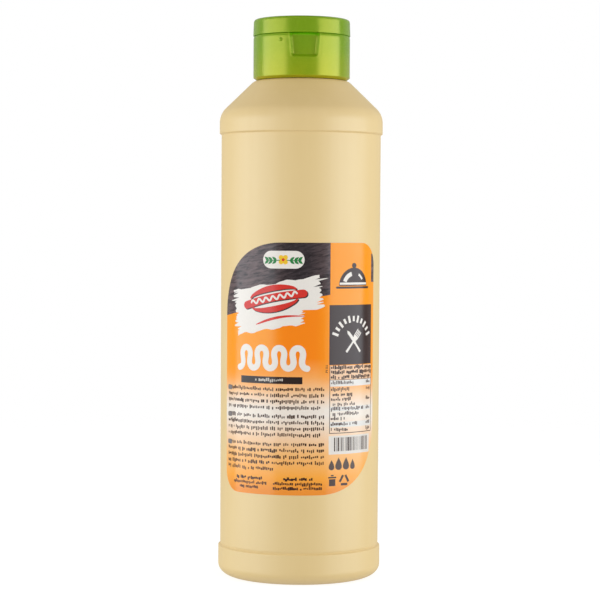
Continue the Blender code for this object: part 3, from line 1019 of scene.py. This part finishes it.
def bar_code_tree():
    """Upright bars of random widths in even steps, wrapped on to the panel."""
    sizes = "Left, Middle height, Step, Bar height, Lift"
    tree, given = new_shape_tree("bar_code", Int="Bars, Seed", Float=sizes)
    index = tree.node("GeometryNodeInputIndex")
    sockets = {"ID": index, "Seed": given["Seed"]}
    drawn = tree.node("FunctionNodeRandomValue", sockets, 1, data_type="FLOAT")
    modules = (drawn * 3.99).maths("FLOOR")  # 0 to 3
    width = given["Step"] * (modules * 0.2 + 0.2)
    along = given["Left"] + (index + 0.5) * given["Step"]
    place = tree.vector(along, 0.0, given["Middle height"])
    return wrapped_blocks(tree, given, given["Bars"], place, width, given["Bar height"])


sizes = {"Left": 16.4 * MM, "Middle height": 65.9 * MM, "Step": 0.97 * MM, "Bar height": 6.4 * MM}
grown_print("bar_code_bars", bar_code_tree(), 2, text_ink, {**sizes, "Bars": 22, "Seed": 4})


def drop(height):
    """A drop of sauce with its point up, its middle at the origin, in mm."""
    points = []
    for k in range(40):
        angle = 2 * pi * k / 40
        narrowing = sin(angle / 2) ** 1.6
        points.append((0.43 * height * sin(angle) * narrowing, 0.5 * height * cos(angle)))
    return points


drop_sizes = ((15.4, 4.8), (19.1, 5.9), (23.2, 5.9), (27.1, 4.8))
drops = [placed(drop(size), (along, 54.0 + size / 2)) for along, size in drop_sizes]
printed("sauce_drops", drops, 2, ink("quantity_ink", (0.075, 0.036, 0.022)))


def triangle_of_bars(size):
    """Three bars along the sides of a triangle, clear of each other at its corners."""
    half_length, half_width = 0.36 * size, 0.11 * size
    bars = []
    for k in range(3):
        angle = radians(120 * k)
        centre = (half_length * sin(angle), -half_length * cos(angle))
        side = bar(-half_length, -half_width, half_length, half_width)
        bars.append(placed(side, centre, 120 * k))
    return bars


icons = [bar(14.2, 46.6, 17.4, 49.8), bar(13.8, 50.2, 17.8, 50.9), bar(15.1, 51.2, 16.5, 51.8)]
icons += [placed(shape, (22.2, 49.0)) for shape in triangle_of_bars(5.0)]
printed("disposal_icons", icons, 2, text_ink)

# CAP BASE
# The lower half of a moulded flip-top cap, in a pearly green plastic that lets a little light
# through. It covers the neck and has a chamfered underside. At the front a rounded recess
# makes room for a thumb, with a small moulding pip beside it.

CAP_RADIUS = 23.05 * MM
cap_low, cap_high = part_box("cap_base")
CAP_BOTTOM = cap_low.z
CAP_TOP = cap_high.z + 0.25 * MM
CAP_TURN = Matrix.Rotation(radians(3.5), 4, "Z")  # the cap's front, to the label's right
CLOSER = 0.24 * MM  # the cap sits this much lower than its solid, so that no gap shows
LID_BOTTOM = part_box("cap_lid")[0].z + 0.08 * MM
NECK_GAP = 0.3 * MM
TOP_EDGE = (0.45 * MM, 1.7 * MM)
RECESS_TOP_HALF_WIDTH = 7.2 * MM
RECESS_BOTTOM_HALF_WIDTH = 6.25 * MM
RECESS_BOTTOM = 246.3 * MM
RECESS_CORNER = 1.7 * MM
RECESS_DEPTH = 1.9 * MM
RECESS_DRAFT = 1.5 * MM
RECESS_LIP = 0.09 * MM
LIP_HALF_WIDTH = 0.45 * MM
RECESS_EDGE_EASE, RECESS_FLOOR_EASE = 0.13, 0.15  # shares of the draft
POCKET_HALF_WIDTH = 7.5 * MM
POCKET_BOTTOM = 252.4 * MM
POCKET_TOP = 262.4 * MM
POCKET_FLOOR = 20.6 * MM
POCKET_DRAFT = 0.45 * MM
MARGIN = 1 * MM  # how far rows and pressed points reach beyond a recess
ROW_SPACING = 0.2 * MM
COLUMNS, CROWDING = 640, 0.55
FRONT = -pi / 2


def filled_in(profile, low, high):
    """The profile with extra points, so that its rows are close between two heights."""
    points = [profile[0]]
    for (r0, z0), (r1, z1) in zip(profile, profile[1:]):
        span = abs(z1 - z0)
        inside = min(z0, z1) < high and max(z0, z1) > low and r0 > NECK_RADIUS + 2 * NECK_GAP
        steps = max(1, round(span / ROW_SPACING)) if inside else 1
        for k in range(1, steps + 1):
            points.append((r0 + (r1 - r0) * k / steps, z0 + (z1 - z0) * k / steps))
    return points


def smooth(value):
    value = min(1.0, max(0.0, value))
    return value * value * (3 - 2 * value)


def inside_by(side, below, corner):
    """How far a point lies outside a shape with a round corner, from how far it lies
    outside its side and its lower edge: negative inside."""
    x, z = side + corner, below + corner
    return min(max(x, z), 0.0) + hypot(max(x, 0.0), max(z, 0.0)) - corner


def eased(value, ease):
    """0 for a low value, the value itself for a high one and a parabola between."""
    if abs(value) > ease:
        return max(value, 0.0)
    return (value + ease) ** 2 / (4 * ease)


def press_thumb_recess(point):
    """Moves a point of the cap's front in to the recess's floor, which curves like the wall."""
    radius = hypot(point.x, point.y)
    if point.y > 0 or radius < CAP_RADIUS - MARGIN or point.z < RECESS_BOTTOM - MARGIN:
        return
    rise = (point.z - RECESS_BOTTOM) / (CAP_TOP - RECESS_BOTTOM)
    half_width = RECESS_BOTTOM_HALF_WIDTH + (RECESS_TOP_HALF_WIDTH - RECESS_BOTTOM_HALF_WIDTH) * rise
    outside = inside_by(abs(point.x) - half_width, RECESS_BOTTOM - point.z, RECESS_CORNER)
    down = -outside / RECESS_DRAFT
    depth = eased(down, RECESS_EDGE_EASE) - eased(down - 1, RECESS_FLOOR_EASE)
    lip = RECESS_LIP * max(0.0, 1 - (outside / LIP_HALF_WIDTH) ** 2)
    floor_radius = radius - RECESS_DEPTH * depth + lip
    point.y = -sqrt(max(floor_radius**2 - point.x**2, 0.0))


def press_hinge_pocket(point):
    """Moves a point of the cap's back in to the flat floor of the hinge's pocket."""
    if point.y < POCKET_FLOOR:
        return
    side = abs(point.x) - POCKET_HALF_WIDTH
    end = max(POCKET_BOTTOM - point.z, point.z - POCKET_TOP)
    depth = smooth((0.1 * MM - inside_by(side, end, 0.5 * MM)) / POCKET_DRAFT)
    point.y += (POCKET_FLOOR - point.y) * depth


def pearl_green():
    material, tree, shader = new_material("pearl_green_plastic")
    height = tree.height()
    leaf_green = (0.142, 0.306, 0.003)
    olive_painted_glow = (0.243, 0.340, 0.002)
    deep = (0.105, 0.265, 0.002)
    painted_gap_glow = (0.150, 0.560, 0.002)
    warm_painted_bounce = (0.420, 0.370, 0.008)
    # painted light: the lower cap turns olive, standing in for light through the plastic that picks up the
    # cream bottle below
    lower = 1 - height.ramp(238 * MM, 254 * MM)
    colour = tree.mix(lower, leaf_green, olive_painted_glow)
    # painted light: a warm band on the chamfered underside, standing in for light bounced up from the cream
    # bottle
    foot = 1 - height.ramp(CAP_BOTTOM + 0.3 * MM, CAP_BOTTOM + 1.4 * MM)
    colour = tree.mix(foot * 0.8, colour, warm_painted_bounce)
    # painted light: in the parting gap between base and lid the green is made bright, a painted glow where
    # the gap lies in shade
    place = tree.node("ShaderNodeVectorMath", {0: tree.place(), 1: (1, 1, 0)}, operation="MULTIPLY")
    radius = tree.node("ShaderNodeVectorMath", {0: place}, operation="LENGTH")["Value"]
    inside = 1 - radius.ramp(CAP_RADIUS - 0.7 * MM, CAP_RADIUS - 0.3 * MM)
    parting = height.ramp(CAP_TOP - 1.5 * MM, CAP_TOP) * (1 - height.ramp(LID_BOTTOM, LID_BOTTOM + 0.3 * MM))
    colour = tree.mix(inside * parting, colour, painted_gap_glow)
    clouds = tree.noise(130, detail=2.0)
    colour = tree.mix(clouds.ramp(0.4, 0.75) * 0.2, colour, deep)
    flakes = tree.noise(4200, detail=1.0)
    colour = tree.mix(flakes.ramp(0.55, 0.8) * 0.16, colour, (0.42, 0.52, 0.08))
    looks = {"Base Color": colour, "Roughness": 0.22 + flakes * 0.08}
    looks["Normal"] = tree.bump(flakes, 0.01 * MM, 0.5)
    shine = {"IOR": 1.65, "Specular IOR Level": 1.0, "Specular Tint": (1.0, 0.78, 0.16, 1)}
    glow = {"Weight": 0.5, "Radius": (1.0, 1.0, 0.3), "Scale": 1.5 * MM}
    glow = {f"Subsurface {label}": value for label, value in glow.items()}
    tree.feed(shader, {**looks, **shine, **glow})
    return material


def pressed(obj, *presses):
    for vertex in obj.data.vertices:
        for press in presses:
            press(vertex.co)
    obj.data.update()


def cap_base_profile():
    bore = NECK_RADIUS + NECK_GAP
    bore_top = NECK_TOP + NECK_GAP
    foot = CAP_BOTTOM - CLOSER
    seat_top = CAP_TOP + 0.07 * MM
    seat_radius = CAP_RADIUS - 0.85 * MM
    seat = [(0, seat_top), (seat_radius, seat_top), (seat_radius, CAP_TOP)]
    edge_centre = (CAP_RADIUS - TOP_EDGE[0], CAP_TOP - TOP_EDGE[1])
    wall = rounded([
        (CAP_RADIUS, edge_centre[1] - 0.1 * MM, 0), (CAP_RADIUS, foot + 1.15 * MM, 0.25 * MM),
        (CAP_RADIUS - 1.6 * MM, foot, 0.25 * MM), (bore, foot, 0.2 * MM), (bore, bore_top, 0.2 * MM),
        (0, bore_top, 0),
    ])
    profile = seat + arc(edge_centre, TOP_EDGE, 90, 0, 12) + wall
    return filled_in(profile, RECESS_BOTTOM - MARGIN, CAP_TOP)


cap_green = pearl_green()
cap_base = turned("cap_base_body", cap_base_profile(), cap_green, COLUMNS, CROWDING, FRONT)
pressed(cap_base, press_thumb_recess, press_hinge_pocket)
cap_base.data.transform(CAP_TURN)
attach(cap_base, "root")
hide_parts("cap_base")

PIP_RADIUS = 0.85 * MM
PIP_SIDE = -11.15 * MM
PIP_HEIGHT = 254.6 * MM


def moulding_pip():
    """A small dome on the cap's wall, made upright and then leaned out."""
    rise = PIP_RADIUS * 0.8
    dome = arc((0, 0), (PIP_RADIUS, rise), 90, -20, 8) + [(0, -PIP_RADIUS * 0.274)]  # a flat foot
    dome[0] = (0, dome[0][1])
    obj = turned("cap_moulding_pip", dome, cap_green, 24, 0.0)
    facing = asin(PIP_SIDE / CAP_RADIUS)
    spot = Vector((PIP_SIDE, -CAP_RADIUS * cos(facing), PIP_HEIGHT))
    lean = Matrix.Rotation(facing, 4, "Z") @ Matrix.Rotation(pi / 2, 4, "X")
    obj.data.transform(CAP_TURN @ Matrix.Translation(spot) @ lean)
    return obj


pip = moulding_pip()
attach(pip, "root")

# CAP LID
# The shut lid, moulded with the base in the same green plastic. Its side flares very
# slightly to the rim, the top edge is rounded and the top is hardly crowned, with the tiny
# dimple of the moulding gate. A bevel over the recess lets a thumb lift it.

LID_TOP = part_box("cap_lid")[1].z
LID_RIM_RADIUS = 23.2 * MM
LID_UPPER_RADIUS = 22.97 * MM
LID_EDGE = 1.4 * MM
THUMB_BEVEL = 0.6 * MM
THUMB_BEVEL_HALF_WIDTH = 6.2 * MM


def lid_profile():
    crown = 0.15 * MM
    gate = 1.1 * MM
    dimple = LID_TOP - 0.2 * MM
    top = [(0, dimple, 0), (gate, dimple, 0.1 * MM), (gate * 1.3, LID_TOP, 0.1 * MM)]
    top.append((LID_UPPER_RADIUS * 0.5, LID_TOP - 0.25 * crown, 0))
    top.append((LID_UPPER_RADIUS - LID_EDGE, LID_TOP - crown, 0))
    edge = (LID_UPPER_RADIUS - LID_EDGE, LID_TOP - crown - LID_EDGE)
    side = rounded([
        (LID_UPPER_RADIUS, edge[1] - 0.1 * MM, 0), (LID_RIM_RADIUS, LID_BOTTOM, 0.3 * MM),
        (0, LID_BOTTOM, 0),
    ])
    profile = rounded(top)[:-1] + arc(edge, (LID_EDGE, LID_EDGE), 88, 0, 10) + side
    return filled_in(profile, LID_BOTTOM, POCKET_TOP + MARGIN)


def press_thumb_bevel(point):
    if point.y > 0 or point.z > LID_BOTTOM + THUMB_BEVEL:
        return
    cut = THUMB_BEVEL - (point.z - LID_BOTTOM)
    reach = smooth((THUMB_BEVEL_HALF_WIDTH + 0.2 * MM - abs(point.x)) / (0.4 * MM))
    radius = hypot(point.x, point.y)
    inner = LID_RIM_RADIUS - 1.2 * MM
    if radius > inner:
        squeezed = (radius - inner) * cut * reach / (LID_RIM_RADIUS - inner)
        point.xy = Vector(point.xy) * (1 - squeezed / radius)


lid = turned("cap_lid_body", lid_profile(), cap_green, COLUMNS, CROWDING, FRONT)
pressed(lid, press_thumb_bevel, press_hinge_pocket)
lid.data.transform(CAP_TURN)
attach(lid, "root")
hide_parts("cap_lid")

# HINGE STRAP
# The flexible strap at the back that joins lid and base. A groove across its middle thins
# it, so that it bends there when the lid is opened.

STRAP_HALF_WIDTH = 7.2 * MM
STRAP_INSIDE, STRAP_OUTSIDE = 20.9 * MM, 21.8 * MM


def hinge_strap():
    ends = [corner.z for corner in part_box("cap_hinge")]
    low = Vector((-STRAP_HALF_WIDTH, STRAP_INSIDE, ends[0]))
    high = Vector((STRAP_HALF_WIDTH, STRAP_OUTSIDE, ends[1]))
    middle = (CAP_TOP + LID_BOTTOM) / 2
    groove = 0.45 * MM
    side = rounded([
        (low.y, low.z, 0), (low.y, high.z, 0.12 * MM), (high.y, high.z, 0.3 * MM),
        (high.y, middle + groove * 1.6, 0.3 * MM), (high.y - groove, middle + 0.1 * MM, 0.1 * MM),
        (high.y - groove, middle - 0.1 * MM, 0.1 * MM), (high.y, middle - groove * 1.6, 0.3 * MM),
        (high.y, low.z, 0.3 * MM), (low.y, low.z, 0)
    ])[:-1]
    shape = bmesh.new()
    near = [shape.verts.new((low.x, y, z)) for y, z in side]
    far = [shape.verts.new((high.x, y, z)) for y, z in side]
    for k in range(len(side)):
        n = (k + 1) % len(side)
        shape.faces.new((near[k], near[n], far[n], far[k]))
    shape.faces.new(near)
    shape.faces.new(far[::-1])
    bmesh.ops.recalc_face_normals(shape, faces=shape.faces)
    obj = made("hinge_strap", shape, cap_green)
    obj.data.set_sharp_from_angle(angle=radians(50))
    return obj


strap = hinge_strap()
strap.data.transform(CAP_TURN)
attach(strap, "root")
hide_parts("cap_hinge")

# STUDIO
# A plain pale floor that fades into a white background, a large soft light box on each side,
# and a camera at the height of the label, a metre in front of the bottle.

FLOOR_RADIUS = 2.5


def studio_floor():
    shape = bmesh.new()
    bmesh.ops.create_circle(shape, cap_ends=True, radius=FLOOR_RADIUS, segments=96)
    material, tree, shader = new_material("pale_floor")
    colours = {"Base Color": (0.34, 0.34, 0.34, 1), "Emission Color": (1, 1, 1, 1)}
    tree.feed(shader, {**colours, "Roughness": 0.7, "Specular IOR Level": 0.0, "Emission Strength": 0.8})
    distance = tree.node("ShaderNodeVectorMath", {0: tree.place()}, operation="LENGTH")["Value"]
    clear = tree.node("ShaderNodeBsdfTransparent")
    output = material.node_tree.nodes["Material Output"]
    underneath = tree.node("ShaderNodeNewGeometry")["Backfacing"]
    hidden = underneath.maths("MAXIMUM", distance.ramp(0.25, 0.9))
    faded = tree.node("ShaderNodeMixShader", {0: hidden, 1: Value(tree, shader), 2: clear})
    tree.feed(output, {"Surface": faded})
    obj = made("studio_floor", shape, material)
    obj.data.transform(Matrix.Translation((0, 0, -0.05 * MM)))
    return obj


floor = studio_floor()
floor.visible_shadow = False
floor.visible_diffuse = False
floor.visible_glossy = False
floor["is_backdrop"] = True

BOX_TINT = (0.9, 1.0, 1.08)
BOX_DISTANCE = 1.1
BOX_MIDDLE = 0.17  # the height of a light box's middle
BOX_HEIGHT = 0.74
BOX_AIM = 0.16  # the height on the bottle that it faces


def soft_box(name, azimuth, width, radiance):
    """A rectangular soft light facing the bottle. Azimuth 0 is in front, 90 to the right."""
    light = bpy.data.lights.new(name, "AREA")
    light.shape = "RECTANGLE"
    light.size, light.size_y = width, BOX_HEIGHT
    light.energy = pi * radiance * width * BOX_HEIGHT
    light.color = BOX_TINT
    turn = radians(azimuth)
    spot = Vector((BOX_DISTANCE * sin(turn), -BOX_DISTANCE * cos(turn), BOX_MIDDLE))
    obj = added(name, light)
    obj.location = spot
    obj.rotation_euler = (Vector((0, 0, BOX_AIM)) - spot).to_track_quat("-Z", "Y").to_euler()


soft_box("soft_box_left", -70, 1.5, 3.33)
soft_box("soft_box_right", 70.2, 1.29, 3.75)

world = bpy.data.worlds.new("white_studio")
bpy.context.scene.world = world
world.use_nodes = True
sky = Tree(world.node_tree)
background = world.node_tree.nodes["Background"]
direction = sky.parts(sky.node("ShaderNodeTexCoord")["Generated"])
sideways = abs(direction["X"].maths("ARCTAN2", 0 - direction["Y"]) * (180 / pi))
upwards = direction["Z"].maths("ARCSINE") * (180 / pi)


def from_to(angle, low, high, edge=4):
    """1 between two angles in degrees and 0 outside them, with soft edges."""
    return angle.ramp(low - edge, low + edge) * (1 - angle.ramp(high - edge, high + edge))


# strength, then from and to in degrees: round from the front on both sides, and upwards
walls_of_studio = (
    (0.50, -9, 35, -20, 25),
    (0.84, -9, 60, 25, 60),
    (0.90, 60, 120, 25, 60),
    (0.60, 112, 150, -20, 60),
    (0.55, 150, 189, -20, 60),
    (0.24, -9, 189, 60, 99),
    (0.45, -9, 189, -48, -20),
    (0.90, -9, 189, -99, -48),
)
lit = 0
for strength, near, far, low, high in walls_of_studio:
    lit += strength * from_to(sideways, near, far) * from_to(upwards, low, high)
seen = sky.node("ShaderNodeLightPath")["Is Camera Ray"]
sky.feed(background, {"Strength": lit * (1 - seen) + seen, "Color": (1, 1, 1, 1)})

CAMERA_DISTANCE = 979.3 * MM
CAMERA_HEIGHT = 162.15 * MM
CAMERA_SWING, CAMERA_DIP, CAMERA_ROLL = 0.007, 1.77, 0.34  # in degrees
PIXELS_ACROSS = 600
FOCAL_PIXELS = 2041.1
SENSOR_WIDTH = 36.0

lens = bpy.data.cameras.new("camera")
lens.sensor_width = SENSOR_WIDTH
lens.lens = FOCAL_PIXELS / PIXELS_ACROSS * SENSOR_WIDTH
lens.clip_start = 0.01
camera = added("camera", lens)
aim = Matrix.Rotation(radians(CAMERA_SWING), 4, "Z") @ Matrix.Rotation(radians(90 - CAMERA_DIP), 4, "X")
place = Matrix.Translation((0, -CAMERA_DISTANCE, CAMERA_HEIGHT))
camera.matrix_world = place @ aim @ Matrix.Rotation(radians(CAMERA_ROLL), 4, "Z")
bpy.context.scene.camera = camera
bpy.context.scene.view_settings.view_transform = "Standard"

shown_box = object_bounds()
sizes = {"cad": [list(corner) for corner in cad_box], "visual": [list(corner) for corner in shown_box]}
